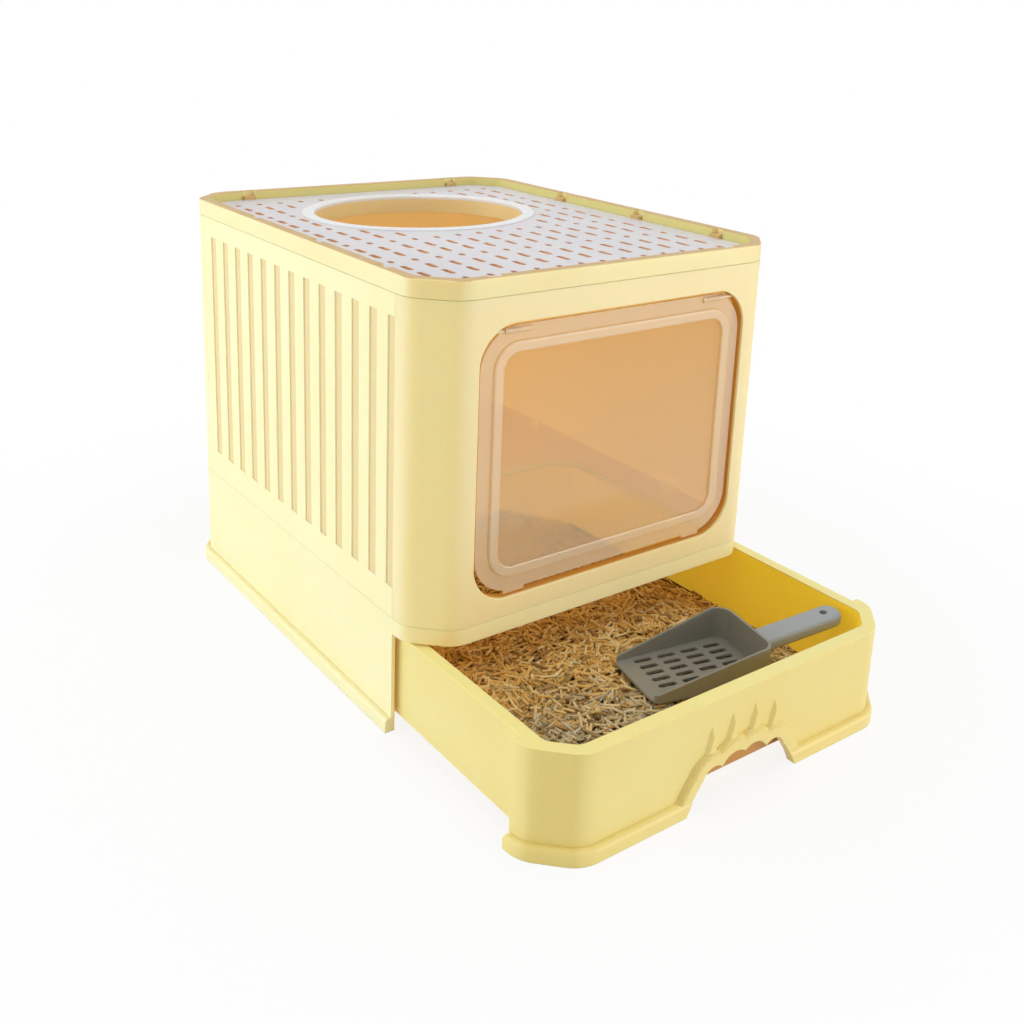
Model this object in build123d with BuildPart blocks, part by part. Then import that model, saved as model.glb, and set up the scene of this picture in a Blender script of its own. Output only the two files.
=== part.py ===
"""Covered litter box with a swing door, a slotted top entry and a pull-out tray.

Millimetres, +Z up, front towards -Y. The origin is on the floor, at the middle
of the box that holds the object with its tray pulled part way out.
"""

import os
from math import cos, radians, sin, tan

from build123d import *

# Housing
box_width = 400.0
box_depth = 488.0
box_height = 410.0
corner_leg = 33.0
corner_round = 28.0
front_reach = 47.5
panel_wall = 3.0
seam_bevel = 0.7

# Base frame
base_height = 110.0
header_height = 15.0
header_depth = 7.0
skirt_wall = 3.5
lip_flare = 6.0
lip_height = 13.0
lip_round = 4.0
bay_gap = 1.0

# Locating rings and the snap hooks on them
fit_gap = 0.2
spigot_wall = 3.0
spigot_height = 8.0
clip_width = 18.0
clip_thickness = 5.0
hook_wall = 3.0
side_clip_spacing = 240.0
back_clip_spacing = 200.0

# Panel joints at the corners
tongue_wall = 2.2
tongue_reach = 8.0
tongue_root = 4.0

# Side grooves
groove_pitch = 30.0
groove_width = 12.5
groove_depth = 1.2
groove_base_margin = 28.0
groove_top_margin = 19.0
groove_front_gap = 5.0
groove_back_gap = 20.0

# Top frame and sieve
top_frame_height = 16.0
rim_width = 11.0
rim_wall = 3.0
rim_round = 1.2
ledge_width = 9.0
sieve_thickness = 3.0
sieve_drop = 9.0
sieve_gap = 0.5
snap_tab_length = 13.0
snap_tab_depth = 5.0
snap_tab_height = 4.0
snap_tab_gap = 0.6
side_snap_setbacks = (79.0, 197.0, 328.0)
front_snap_inset = 68.0
slot_pitch_x = 24.5
slot_pitch_y = 26.5
slot_width = 6.0
slot_length = 18.0
dot_length = 9.0
slot_margin = 9.0
entry_width = 230.0
entry_depth = 196.0
entry_setback = 155.0
entry_end_inset = 12.0
collar_width = 13.0
collar_wall = 2.6
collar_drop = 15.0
collar_round = 2.0
collar_seat = 4.0
collar_flange = 1.5
collar_edge_round = 1.0

# Door opening and flap
opening_side_margin = 5.0
opening_top_margin = 23.0
opening_sill = 17.0
opening_corner = 36.0
return_wall = 2.5
return_depth = 10.0
flap_side_gap = 3.0
flap_top_gap = 3.0
flap_bottom_gap = 5.0
flap_corner = 38.0
flap_thickness = 2.4
flap_setback = 5.0
flange_width = 13.0
bead_width = 10.0
bead_height = 2.6
bead_edge = 0.6
pivot_drop = 4.0
pin_radius = 1.6
pin_point = 0.4
pin_gap = 0.05
pin_seat_gap = 0.02
pin_in_barrel = 17.0
barrel_radius = 3.2
barrel_length = 26.0
barrel_end_gap = 3.5
bracket_depth = 10.0
bracket_foot = 3.5
bracket_head = 12.0
bracket_round = 3.0
nub_width = 22.0
nub_height = 3.0
nub_inset = 42.0

# Drawer tray
drawer_out = 174.0
header_gap = 2.0
rim_band = 13.0
rim_side_band = 11.0
rim_thickness = 3.0
tray_wall = 2.6
tray_bottom = 15.0
tray_floor = 2.6
tray_side_gap = 3.5
tray_back_gap = 8.0
cavity_round = 13.0
tray_chamfer = 19.0
runner_gap = 0.3
runner_width = 16.0
runner_thickness = 2.4
runner_margin = 12.0

# Hand cut-out in the drawer front
grip_half_width = 64.0
grip_flank_x = 57.0
grip_shoulder_x = 47.0
grip_shoulder_z = 27.0
toe_split_x = 26.0
toe_split_z = 32.0
toe_outer_rise = 6.0
toe_inner_rise = 6.0
toe_middle_z = 37.0
grip_bead_width = 12.0
grip_bead_height = 5.0
grip_bead_round = 3.4
grip_bead_steps = 5
claw_width = 15.0
claw_height = 26.0
claw_relief = 3.2
claw_taper = 38.0
claw_sink = 6.0

# Litter
litter_side_gap = 0.5
litter_low_depth = 3.0
litter_slope_run = 122.0
litter_toe_slope = 0.1
heap_pitch = 43.0
heap_height = 3.5
heap_ball_radius = 60.0
heap_root = 0.2

# Scoop
scoop_end_gap = 4.0
scoop_headroom = 2.1
scoop_setback = 70.0
scoop_turn = -12.0
scoop_lift = 0.4
bowl_length = 118.0
bowl_width = 84.0
bowl_tip_width = 70.0
bowl_height = 32.0
bowl_tip_height = 6.0
bowl_wall = 2.4
bowl_corner = 15.0
bowl_slot_length = 18.0
bowl_slot_width = 5.0
bowl_slot_columns = 4
bowl_slot_rows = 6
bowl_slot_pitch_x = 24.0
bowl_slot_pitch_y = 10.5
bowl_slot_back = 12.0
handle_length = 98.0
handle_width = 25.0
handle_thickness = 13.0
handle_rise = 13.0
handle_round = 5.0
handle_end_flat = 1.1
hang_hole_radius = 3.5
hang_hole_inset = 17.0

# Levels and planes that follow from the sizes above
box_mid_y = drawer_out / 2
front_y = box_mid_y - box_depth / 2
back_y = box_mid_y + box_depth / 2
side_x = box_width / 2
header_bottom = base_height - header_height
upper_seam = box_height - top_frame_height
panel_height = upper_seam - base_height
corner_reach = corner_leg + corner_round * tan(radians(22.5))
panel_seam = front_reach + bay_gap
sieve_top = box_height - sieve_drop
sieve_bottom = sieve_top - sieve_thickness
entry_y = back_y - entry_setback
opening_bottom = base_height + opening_sill
opening_top = upper_seam - opening_top_margin
opening_height = opening_top - opening_bottom
opening_width = box_width - 2 * (corner_reach + opening_side_margin)
drawer_front_y = front_y - drawer_out
drawer_top = header_bottom - header_gap
floor_top = tray_bottom + runner_gap + tray_floor
over = 1.0
tolerance = 0.01


def level(height):
    """Horizontal plane of the housing at a height."""
    return Plane((0, box_mid_y, height))


def drawer_level(height):
    """Horizontal plane of the drawer at a height, where it stands pulled out."""
    return Plane((0, box_mid_y - drawer_out, height))


def housing_outline(inset=0.0):
    """Plan of the housing: a rectangle with softened 45 degree corners."""
    with BuildSketch(mode=Mode.PRIVATE) as outline:
        Rectangle(box_width, box_depth)
        chamfer(outline.vertices(), corner_leg)
        fillet(outline.vertices(), corner_round)
        if inset != 0:
            offset(amount=-inset)
    return outline.sketch


def ring(outer_inset, inner_inset):
    """Band of the housing plan between two insets, added to the open sketch."""
    add(housing_outline(outer_inset))
    add(housing_outline(inner_inset), mode=Mode.SUBTRACT)


def keep_front(reach):
    """Trim the open sketch to what lies within a reach of the front plane."""
    with Locations((0, -box_depth / 2 + reach / 2 - lip_flare)):
        Rectangle(2 * box_width, reach + 2 * lip_flare, mode=Mode.INTERSECT)


def keep_band(start, end):
    """Trim the open sketch to a band between two distances from the front plane."""
    with Locations((0, -box_depth / 2 + (start + end) / 2)):
        Rectangle(2 * box_width, end - start, mode=Mode.INTERSECT)


def save(builder, name):
    """Label a finished piece and write it."""
    builder.part.label = name
    export_step(builder.part, f"parts/{name}.step")


def outline_edges(builder, height):
    """Outer edges of the widest flat face at a height."""
    flats = builder.faces().filter_by(Axis.Z)
    flats = flats.filter_by_position(Axis.Z, height - tolerance, height + tolerance)
    return flats.sort_by(lambda face: face.outer_wire().length)[-1].outer_wire().edges()


os.makedirs("parts", exist_ok=True)

# Base frame: header ring over the drawer, skirts on three sides, flared foot lip
with BuildPart() as base_frame:
    with BuildSketch(level(0)):
        ring(-lip_flare, skirt_wall)
    extrude(amount=lip_height)
    fillet(outline_edges(base_frame, lip_height), lip_round)
    with BuildSketch(level(0)):
        ring(0, skirt_wall)
    extrude(amount=base_height)
    bay_depth = panel_seam + lip_flare + over
    with Locations((0, front_y - lip_flare - over + bay_depth / 2, header_bottom / 2)):
        Box(box_width + 4 * lip_flare, bay_depth, header_bottom, mode=Mode.SUBTRACT)
    with BuildSketch(level(header_bottom)):
        ring(0, header_depth)
    extrude(amount=header_height)
    with BuildSketch(level(header_bottom)):
        ring(panel_wall + fit_gap, panel_wall + fit_gap + spigot_wall)
    extrude(amount=header_height + spigot_height)
    chamfer(outline_edges(base_frame, base_height), seam_bevel)
save(base_frame, "base_frame")

# Runners: rails on the inner faces of the side skirts
runner_start = front_y + panel_seam + runner_margin
runner_end = back_y - panel_seam - runner_margin
with BuildPart() as left_runner:
    with Locations((-side_x + skirt_wall, (runner_start + runner_end) / 2, tray_bottom)):
        Box(
            runner_width,
            runner_end - runner_start,
            runner_thickness,
            align=(Align.MIN, Align.CENTER, Align.MAX),
        )
        Box(
            runner_thickness,
            runner_end - runner_start,
            runner_width,
            align=(Align.MIN, Align.CENTER, Align.MIN),
        )
    inner_edges = left_runner.edges().filter_by(Axis.Y).group_by(Axis.X)[-1]
    chamfer(inner_edges, seam_bevel)
save(left_runner, "left_runner")

with BuildPart() as right_runner:
    mirror(left_runner.part, about=Plane.YZ)
save(right_runner, "right_runner")

# Front panel: both front corners, door opening with an inward return
opening_plane = Plane(
    origin=(0, front_y, (opening_bottom + opening_top) / 2), x_dir=(1, 0, 0), z_dir=(0, -1, 0)
)
hinge_y = front_y + flap_setback
flap_top = opening_top - flap_top_gap
hinge_z = flap_top - pivot_drop
with BuildPart() as front_panel:
    with BuildSketch(level(base_height)):
        ring(0, panel_wall)
        keep_front(panel_seam)
    extrude(amount=panel_height)
    with BuildSketch(level(base_height + spigot_height + over)):
        ring(panel_wall, panel_wall + tongue_wall)
        keep_band(panel_seam - tongue_root, panel_seam + tongue_reach)
    extrude(amount=panel_height - 2 * spigot_height - 2 * over)
    with BuildSketch(opening_plane):
        RectangleRounded(
            opening_width + 2 * return_wall, opening_height + 2 * return_wall, opening_corner + return_wall
        )
    extrude(amount=-return_depth)
    with BuildSketch(opening_plane):
        RectangleRounded(opening_width, opening_height, opening_corner)
    extrude(amount=-return_depth - over, mode=Mode.SUBTRACT)
    with Locations(Location((0, hinge_y, hinge_z), (0, 90, 0))):
        Cylinder(pin_radius + fit_gap, opening_width + 4 * return_wall, mode=Mode.SUBTRACT)
    mouth = front_panel.faces().filter_by(Axis.Y).sort_by(Axis.Y)[0]
    fillet(mouth.inner_wires()[0].edges(), seam_bevel)
save(front_panel, "front_panel")

# Back panel: plain, with both back corners
with BuildPart() as back_panel:
    with BuildSketch(level(base_height)):
        ring(0, panel_wall)
        keep_band(box_depth - panel_seam, box_depth + lip_flare)
    extrude(amount=panel_height)
    with BuildSketch(level(base_height + spigot_height + over)):
        ring(panel_wall, panel_wall + tongue_wall)
        keep_band(box_depth - panel_seam - tongue_reach, box_depth - panel_seam + tongue_root)
    extrude(amount=panel_height - 2 * spigot_height - 2 * over)
save(back_panel, "back_panel")

# Side panels: flat walls with upright grooves
groove_bottom = base_height + groove_base_margin
groove_height = upper_seam - groove_top_margin - groove_bottom
groove_start = front_y + panel_seam + groove_front_gap
groove_run = box_depth - 2 * panel_seam - groove_front_gap - groove_back_gap
groove_count = int(groove_run // groove_pitch) + 1
with BuildPart() as left_panel:
    with Locations((-side_x, box_mid_y, base_height)):
        Box(
            panel_wall,
            box_depth - 2 * panel_seam,
            panel_height,
            align=(Align.MIN, Align.CENTER, Align.MIN),
        )
    with Locations((-side_x, groove_start, groove_bottom + groove_height / 2)):
        with GridLocations(0, groove_pitch, 1, groove_count, align=(Align.CENTER, Align.MIN)):
            Box(2 * groove_depth, groove_width, groove_height, mode=Mode.SUBTRACT)
save(left_panel, "left_panel")

with BuildPart() as right_panel:
    mirror(left_panel.part, about=Plane.YZ)
save(right_panel, "right_panel")

# Snap hooks: each seats on a panel's inner face and hooks over a locating ring
clip_planes = []
for clip_y in (box_mid_y - side_clip_spacing / 2, box_mid_y + side_clip_spacing / 2):
    clip_planes.append(Plane((-side_x, clip_y, 0), x_dir=(1, 0, 0), z_dir=(0, -1, 0)))
    clip_planes.append(Plane((side_x, clip_y, 0), x_dir=(-1, 0, 0), z_dir=(0, 1, 0)))
for clip_x in (-back_clip_spacing / 2, back_clip_spacing / 2):
    clip_planes.append(Plane((clip_x, back_y, 0), x_dir=(0, -1, 0), z_dir=(-1, 0, 0)))


def clip_profile(seat, direction):
    """Hook section: along the panel, over the ring's edge and back down behind it."""
    inner = panel_wall + 2 * fit_gap + spigot_wall
    with BuildLine() as hook:
        Polyline(
            (panel_wall, seat),
            (panel_wall, seat + direction * clip_thickness),
            (inner + hook_wall, seat + direction * clip_thickness),
            (inner + hook_wall, seat - direction * (spigot_height - over)),
            (inner, seat - direction * (spigot_height - over)),
            (inner, seat),
            close=True,
        )
    make_face(hook.edges())


with BuildPart() as base_clips:
    for clip_plane in clip_planes:
        with BuildSketch(clip_plane):
            clip_profile(base_height + spigot_height, 1)
        extrude(amount=clip_width / 2, both=True)
save(base_clips, "base_clips")

with BuildPart() as top_clips:
    for clip_plane in clip_planes:
        with BuildSketch(clip_plane):
            clip_profile(upper_seam - spigot_height, -1)
        extrude(amount=clip_width / 2, both=True)
save(top_clips, "top_clips")

# Places of the sieve's snap tabs along the inner edge of the rim
snap_places = []
for side in (-1, 1):
    for snap_setback in side_snap_setbacks:
        snap_places.append((side * (side_x - rim_width), snap_setback - box_depth / 2, 90))
    for end in (-1, 1):
        snap_places.append((side * (side_x - front_snap_inset), end * (box_depth / 2 - rim_width), 0))


def snap_tabs(gap, reach):
    """Plan of the snap tabs, grown by a gap, centred on the rim's inner edge."""
    for tab_x, tab_y, tab_turn in snap_places:
        with Locations(Location((tab_x, tab_y, 0), (0, 0, tab_turn))):
            Rectangle(snap_tab_length + 2 * gap, 2 * reach + 2 * gap)


# Top frame: hollow rim, ledge for the sieve, locating ring inside the panels
with BuildPart() as top_frame:
    with BuildSketch(level(upper_seam)):
        ring(0, rim_width)
    extrude(amount=top_frame_height)
    fillet(outline_edges(top_frame, box_height), rim_round)
    chamfer(outline_edges(top_frame, upper_seam), seam_bevel)
    with BuildSketch(level(upper_seam)):
        ring(rim_wall, rim_width - rim_wall)
    extrude(amount=sieve_bottom - rim_wall - upper_seam, mode=Mode.SUBTRACT)
    with BuildSketch(level(sieve_bottom)):
        ring(rim_width - rim_wall, rim_width + ledge_width)
    extrude(amount=-rim_wall)
    with BuildSketch(level(upper_seam - spigot_height)):
        ring(panel_wall + fit_gap, panel_wall + fit_gap + spigot_wall)
    extrude(amount=spigot_height + rim_wall)
    with BuildSketch(level(sieve_top)):
        snap_tabs(snap_tab_gap, snap_tab_depth)
    extrude(amount=sieve_drop + over, mode=Mode.SUBTRACT)
save(top_frame, "top_frame")


def entry_oval(grow):
    """Oval of the top entry, grown outwards: four tangent arcs about its longer axis."""
    long_half = max(entry_width, entry_depth) / 2 + grow
    short_half = min(entry_width, entry_depth) / 2 + grow
    end_radius = short_half - entry_end_inset
    reach = long_half - end_radius
    side_radius = (reach**2 + short_half**2 - end_radius**2) / (2 * entry_end_inset)
    join_x = reach + end_radius * reach / (side_radius - end_radius)
    join_y = end_radius * (side_radius - short_half) / (side_radius - end_radius)
    with BuildSketch(mode=Mode.PRIVATE) as oval:
        with BuildLine():
            ThreePointArc((join_x, -join_y), (long_half, 0), (join_x, join_y))
            ThreePointArc((join_x, join_y), (0, short_half), (-join_x, join_y))
            ThreePointArc((-join_x, join_y), (-long_half, 0), (-join_x, -join_y))
            ThreePointArc((-join_x, -join_y), (0, -short_half), (join_x, -join_y))
        make_face()
    quarter_turn = 0 if entry_width > entry_depth else 90
    return oval.sketch.moved(Location((0, entry_y - box_mid_y, 0), (0, 0, quarter_turn)))


# Slots stand in straight rows: two rows of long slots, then a row of short ones
slot_columns = int((box_width - 2 * rim_width - 2 * slot_margin) // slot_pitch_x)
slot_rows = int((box_depth - 2 * rim_width - 2 * slot_margin) // slot_pitch_y)
facet_limit = (box_width + box_depth) / 2 - corner_leg - 2**0.5 * (rim_width + slot_margin)
long_slots = []
short_slots = []
for row in range(slot_rows):
    for column in range(slot_columns):
        slot_x = (column - (slot_columns - 1) / 2) * slot_pitch_x
        slot_y = (row - (slot_rows - 1) / 2) * slot_pitch_y
        is_short = row % 3 == 0
        length = dot_length if is_short else slot_length
        near_corner = abs(slot_x) + abs(slot_y) + length / 2 > facet_limit
        across = slot_x / (entry_width / 2 + collar_width + slot_width)
        along = (slot_y + box_mid_y - entry_y) / (entry_depth / 2 + collar_width + length / 2)
        if not near_corner and across**2 + along**2 > 1:
            (short_slots if is_short else long_slots).append((slot_x, slot_y))

# Sieve lid: slotted panel with the hole for the collar and the snap tabs
with BuildPart() as sieve_lid:
    with BuildSketch(level(sieve_bottom)):
        add(housing_outline(rim_width + sieve_gap))
        add(entry_oval(collar_width - collar_seat), mode=Mode.SUBTRACT)
        with Locations(*long_slots):
            SlotOverall(slot_length, slot_width, rotation=90, mode=Mode.SUBTRACT)
        with Locations(*short_slots):
            SlotOverall(dot_length, slot_width, rotation=90, mode=Mode.SUBTRACT)
    extrude(amount=sieve_thickness)
    with BuildSketch(level(sieve_top)):
        snap_tabs(0, snap_tab_depth - snap_tab_gap)
    extrude(amount=snap_tab_height)
save(sieve_lid, "sieve_lid")

# Entry collar: smooth ring that fills the hole, with a flange on the sieve and a wall below it
with BuildPart() as entry_collar:
    with BuildSketch(level(sieve_top)):
        add(entry_oval(collar_width))
    extrude(amount=collar_flange)
    with BuildSketch(level(sieve_bottom)):
        add(entry_oval(collar_width - collar_seat - fit_gap))
    extrude(amount=sieve_thickness)
    with BuildSketch(level(sieve_bottom - collar_drop)):
        add(entry_oval(collar_wall))
    extrude(amount=collar_drop)
    with BuildSketch(level(sieve_bottom - collar_drop)):
        add(entry_oval(0))
    extrude(amount=collar_drop + sieve_thickness + collar_flange, mode=Mode.SUBTRACT)
    collar_top = entry_collar.faces().sort_by(Axis.Z)[-1]
    fillet(collar_top.outer_wire().edges(), collar_edge_round)
    collar_top = entry_collar.faces().sort_by(Axis.Z)[-1]
    fillet(collar_top.inner_wires()[0].edges(), collar_round)
save(entry_collar, "entry_collar")

# Flap door: clear plate with a raised bead, hinge barrels at its top corners
flap_width = opening_width - 2 * flap_side_gap
flap_bottom = opening_bottom + flap_bottom_gap
flap_height = flap_top - flap_bottom
flap_plane = Plane(
    origin=(0, hinge_y - flap_thickness / 2, (flap_bottom + flap_top) / 2),
    x_dir=(1, 0, 0),
    z_dir=(0, -1, 0),
)
barrel_x = opening_width / 2 - opening_corner + barrel_end_gap + barrel_radius * 2
with BuildPart() as flap_door:
    with BuildSketch(flap_plane):
        RectangleRounded(flap_width, flap_height, flap_corner)
    extrude(amount=-flap_thickness)
    with BuildSketch(flap_plane):
        RectangleRounded(
            flap_width - 2 * flange_width,
            flap_height - 2 * flange_width,
            flap_corner - flange_width,
        )
        inner_band = flange_width + bead_width
        RectangleRounded(
            flap_width - 2 * inner_band,
            flap_height - 2 * inner_band,
            flap_corner - inner_band,
            mode=Mode.SUBTRACT,
        )
    extrude(amount=bead_height)
    bead_top = flap_door.faces().filter_by(Axis.Y).sort_by(Axis.Y)[0]
    fillet(bead_top.edges(), bead_height - bead_edge)
    for side in (-1, 1):
        with Locations(Location((side * (barrel_x - barrel_length / 2), hinge_y, hinge_z), (0, 90, 0))):
            Cylinder(barrel_radius, barrel_length)
        bore_start = barrel_x - pin_in_barrel
        bore_length = flap_width / 2 - bore_start
        with Locations(Location((side * (bore_start + bore_length / 2), hinge_y, hinge_z), (0, 90, 0))):
            Cylinder(pin_radius + pin_gap, bore_length, mode=Mode.SUBTRACT)
        with Locations((side * (flap_width / 2 - nub_inset), hinge_y, flap_bottom + nub_height)):
            Box(
                nub_width,
                flap_thickness,
                2 * nub_height,
                align=(Align.CENTER, Align.CENTER, Align.MAX),
            )
save(flap_door, "flap_door")

# Flap brackets and pins: blocks behind the front panel that hold the pivots
bracket_bottom = hinge_z - bracket_foot
bend_rise = bracket_bottom - (opening_top - opening_corner)
bend_reach = ((opening_corner + return_wall) ** 2 - bend_rise**2) ** 0.5
bracket_x = opening_width / 2 - opening_corner + bend_reach + fit_gap
bracket_end = side_x - corner_reach - panel_wall
pin_start = barrel_x - pin_in_barrel + fit_gap
pin_end = bracket_end - over
with BuildPart() as right_flap_bracket:
    with Locations((bracket_x, front_y + panel_wall, bracket_bottom)):
        Box(
            bracket_end - bracket_x,
            bracket_depth,
            bracket_foot + bracket_head,
            align=(Align.MIN, Align.MIN, Align.MIN),
        )
    top_edges = right_flap_bracket.edges().filter_by(Axis.X).group_by(Axis.Z)[-1]
    fillet(top_edges.sort_by(Axis.Y)[-1], bracket_round)
    with Locations(Location(((pin_start + pin_end) / 2, hinge_y, hinge_z), (0, 90, 0))):
        Cylinder(pin_radius + pin_seat_gap, pin_end - pin_start, mode=Mode.SUBTRACT)
save(right_flap_bracket, "right_flap_bracket")

with BuildPart() as right_flap_pin:
    with Locations(Location(((pin_start + pin_end) / 2, hinge_y, hinge_z), (0, 90, 0))):
        Cylinder(pin_radius, pin_end - pin_start)
    chamfer(right_flap_pin.faces().sort_by(Axis.X)[0].edges(), pin_point)
save(right_flap_pin, "right_flap_pin")

with BuildPart() as left_flap_bracket:
    mirror(right_flap_bracket.part, about=Plane.YZ)
save(left_flap_bracket, "left_flap_bracket")

with BuildPart() as left_flap_pin:
    mirror(right_flap_pin.part, about=Plane.YZ)
save(left_flap_pin, "left_flap_pin")

# Plans of the drawer: faceted front with returns, straight tray behind it
tray_width = box_width - 2 * skirt_wall - 2 * tray_side_gap
tray_end = box_depth - skirt_wall - tray_back_gap
tray_underside = tray_bottom + runner_gap
tray_back_chamfer = corner_leg - (2 - 2**0.5) * (skirt_wall + tray_side_gap + rim_band)


def drawer_front_plan(flare=0.0):
    """Faceted drawer front with its short returns, added to the open sketch."""
    add(housing_outline(-flare))
    keep_front(front_reach)


def tray_plan():
    """Tray behind the drawer front, cornered like the housing, added to the open sketch."""
    with BuildSketch(mode=Mode.PRIVATE) as tray:
        add(housing_outline(skirt_wall + tray_side_gap))
        keep_band(corner_leg, tray_end)
    add(tray.sketch)


def cavity_plan(grow=0.0):
    """Inside of the tray, with softened 45 degree corners."""
    with BuildSketch(mode=Mode.PRIVATE) as cavity:
        with Locations((0, (tray_end - box_depth) / 2)):
            Rectangle(tray_width - 2 * rim_side_band, tray_end - 2 * rim_band)
        chamfer(cavity.vertices().group_by(Axis.Y)[0], tray_chamfer)
        chamfer(cavity.vertices().group_by(Axis.Y)[-1], tray_back_chamfer)
        fillet(cavity.vertices(), cavity_round)
        if grow != 0:
            offset(amount=grow)
    add(cavity.sketch)


def grip_outline():
    """Hand cut-out at the foot of the drawer front, with toe-like scallops on top."""
    outer_toe_x = (grip_shoulder_x + toe_split_x) / 2
    outer_toe_z = (grip_shoulder_z + toe_split_z) / 2 + toe_outer_rise
    inner_toe_z = (toe_split_z + toe_middle_z) / 2 + toe_inner_rise
    with BuildLine() as half:
        foot = Line((0, -lip_height), (grip_half_width, -lip_height))
        rise = Line(foot @ 1, (grip_half_width, 0))
        shoulder = (grip_shoulder_x, grip_shoulder_z)
        flank = ThreePointArc(rise @ 1, (grip_flank_x, grip_shoulder_z / 2), shoulder)
        outer = ThreePointArc(flank @ 1, (outer_toe_x, outer_toe_z), (toe_split_x, toe_split_z))
        ThreePointArc(outer @ 1, (toe_split_x / 2, inner_toe_z), (0, toe_middle_z))
        mirror(about=Plane.YZ)
    make_face(half.edges())


# Drawer tray: rim band, inner and outer walls, foot lip, hand cut-out with claws
drawer_front = Plane(origin=(0, drawer_front_y, 0), x_dir=(1, 0, 0), z_dir=(0, -1, 0))
claw_places = (
    ((grip_shoulder_x + toe_split_x) / 2, toe_split_z + toe_outer_rise),
    (toe_split_x / 2, toe_middle_z + toe_inner_rise),
)
with BuildPart() as drawer_tray:
    with BuildSketch(drawer_level(0)):
        drawer_front_plan(lip_flare)
    extrude(amount=lip_height)
    fillet(outline_edges(drawer_tray, lip_height), lip_round)
    with BuildSketch(drawer_level(0)):
        drawer_front_plan()
    extrude(amount=drawer_top)
    with BuildSketch(drawer_level(tray_underside)):
        tray_plan()
    extrude(amount=drawer_top - tray_underside)
    for step in range(grip_bead_steps):
        bend = radians(90 * step / (grip_bead_steps - 1))
        with BuildSketch(drawer_front):
            grip_outline()
            offset(amount=grip_bead_width - grip_bead_round * (1 - cos(bend)))
            Rectangle(box_width, drawer_top, align=(Align.CENTER, Align.MIN), mode=Mode.INTERSECT)
        extrude(amount=grip_bead_height - grip_bead_round * (1 - sin(bend)))
    with BuildSketch(drawer_front):
        for claw_x, claw_z in claw_places:
            for side in (-1, 1):
                with Locations((side * claw_x, claw_z + grip_bead_width - claw_sink)):
                    Triangle(
                        a=claw_width,
                        b=(claw_height**2 + claw_width**2 / 4) ** 0.5,
                        c=(claw_height**2 + claw_width**2 / 4) ** 0.5,
                        align=(Align.CENTER, Align.MIN),
                    )
    extrude(amount=claw_relief, taper=claw_taper)
    with BuildSketch(drawer_level(floor_top)):
        cavity_plan()
    extrude(amount=drawer_top, mode=Mode.SUBTRACT)
    with BuildSketch(drawer_level(0)):
        drawer_front_plan()
        tray_plan()
        offset(amount=-tray_wall)
        with BuildSketch(mode=Mode.PRIVATE) as inner_wall:
            cavity_plan(tray_wall)
        add(inner_wall.sketch, mode=Mode.SUBTRACT)
    extrude(amount=drawer_top - rim_thickness, mode=Mode.SUBTRACT)
    with BuildSketch(drawer_level(0)):
        drawer_front_plan()
        tray_plan()
        offset(amount=-tray_wall)
    extrude(amount=floor_top - tray_floor, mode=Mode.SUBTRACT)
    with BuildSketch(drawer_front.offset(lip_flare + over)):
        grip_outline()
    extrude(amount=-(lip_flare + 2 * over + tray_wall), mode=Mode.SUBTRACT)
save(drawer_tray, "drawer_tray")

# Litter: low heaps, as deep as lets the drawer close over the scoop, falling away on the right
litter_edge = tray_width / 2 - rim_side_band
litter_slope_start = litter_edge - litter_slope_run
litter_level = drawer_top - scoop_headroom - bowl_height - scoop_lift
litter_low_level = floor_top + litter_low_depth
litter_shelf = litter_level - heap_height
heap_row_pitch = heap_pitch * cos(radians(30))
heap_columns = int((litter_edge + litter_slope_start) // heap_pitch)
heap_rows = int((tray_end - 2 * rim_band - heap_pitch) // heap_row_pitch) + 1
heap_mid_x = (litter_slope_start - litter_edge) / 2
with BuildPart() as litter_bed:
    with BuildPart(mode=Mode.PRIVATE) as heap:
        Sphere(heap_ball_radius)
        with Locations((0, 0, heap_ball_radius - heap_height - heap_root)):
            Box(
                2 * heap_pitch,
                2 * heap_pitch,
                2 * heap_height,
                align=(Align.CENTER, Align.CENTER, Align.MIN),
                mode=Mode.INTERSECT,
            )
    with Locations((heap_mid_x, drawer_front_y + tray_end / 2, litter_level - heap_ball_radius)):
        with HexLocations(heap_pitch / 2, heap_columns, heap_rows):
            add(heap.part)
    with BuildSketch(drawer_level(litter_shelf - heap_root)):
        cavity_plan(-litter_side_gap)
    extrude(amount=2 * heap_height, mode=Mode.INTERSECT)
    with BuildSketch(drawer_level(floor_top)):
        cavity_plan(-litter_side_gap)
    extrude(amount=litter_shelf - floor_top)
    with BuildSketch(Plane.XZ.offset(box_depth)):
        with BuildLine():
            slope = Spline(
                (litter_slope_start, litter_shelf),
                (litter_edge, litter_low_level),
                tangents=((1, 0), (1, -litter_toe_slope)),
            )
            Polyline(
                slope @ 1,
                (box_width, litter_low_level),
                (box_width, box_height),
                (litter_slope_start, box_height),
                slope @ 0,
            )
        make_face()
    extrude(amount=-3 * box_depth, mode=Mode.SUBTRACT)
save(litter_bed, "litter_bed")

# Scoop: slotted bowl open at its tip, straight handle with a hanging hole
scoop_floor = litter_level + scoop_lift
scoop_angle = radians(scoop_turn)
handle_reach = handle_length * cos(scoop_angle) + handle_width / 2 * abs(sin(scoop_angle))
scoop_plane = Plane(
    origin=(litter_edge - scoop_end_gap - handle_reach, drawer_front_y + scoop_setback, scoop_floor),
    x_dir=(cos(scoop_angle), sin(scoop_angle), 0),
    z_dir=(0, 0, 1),
)


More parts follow.
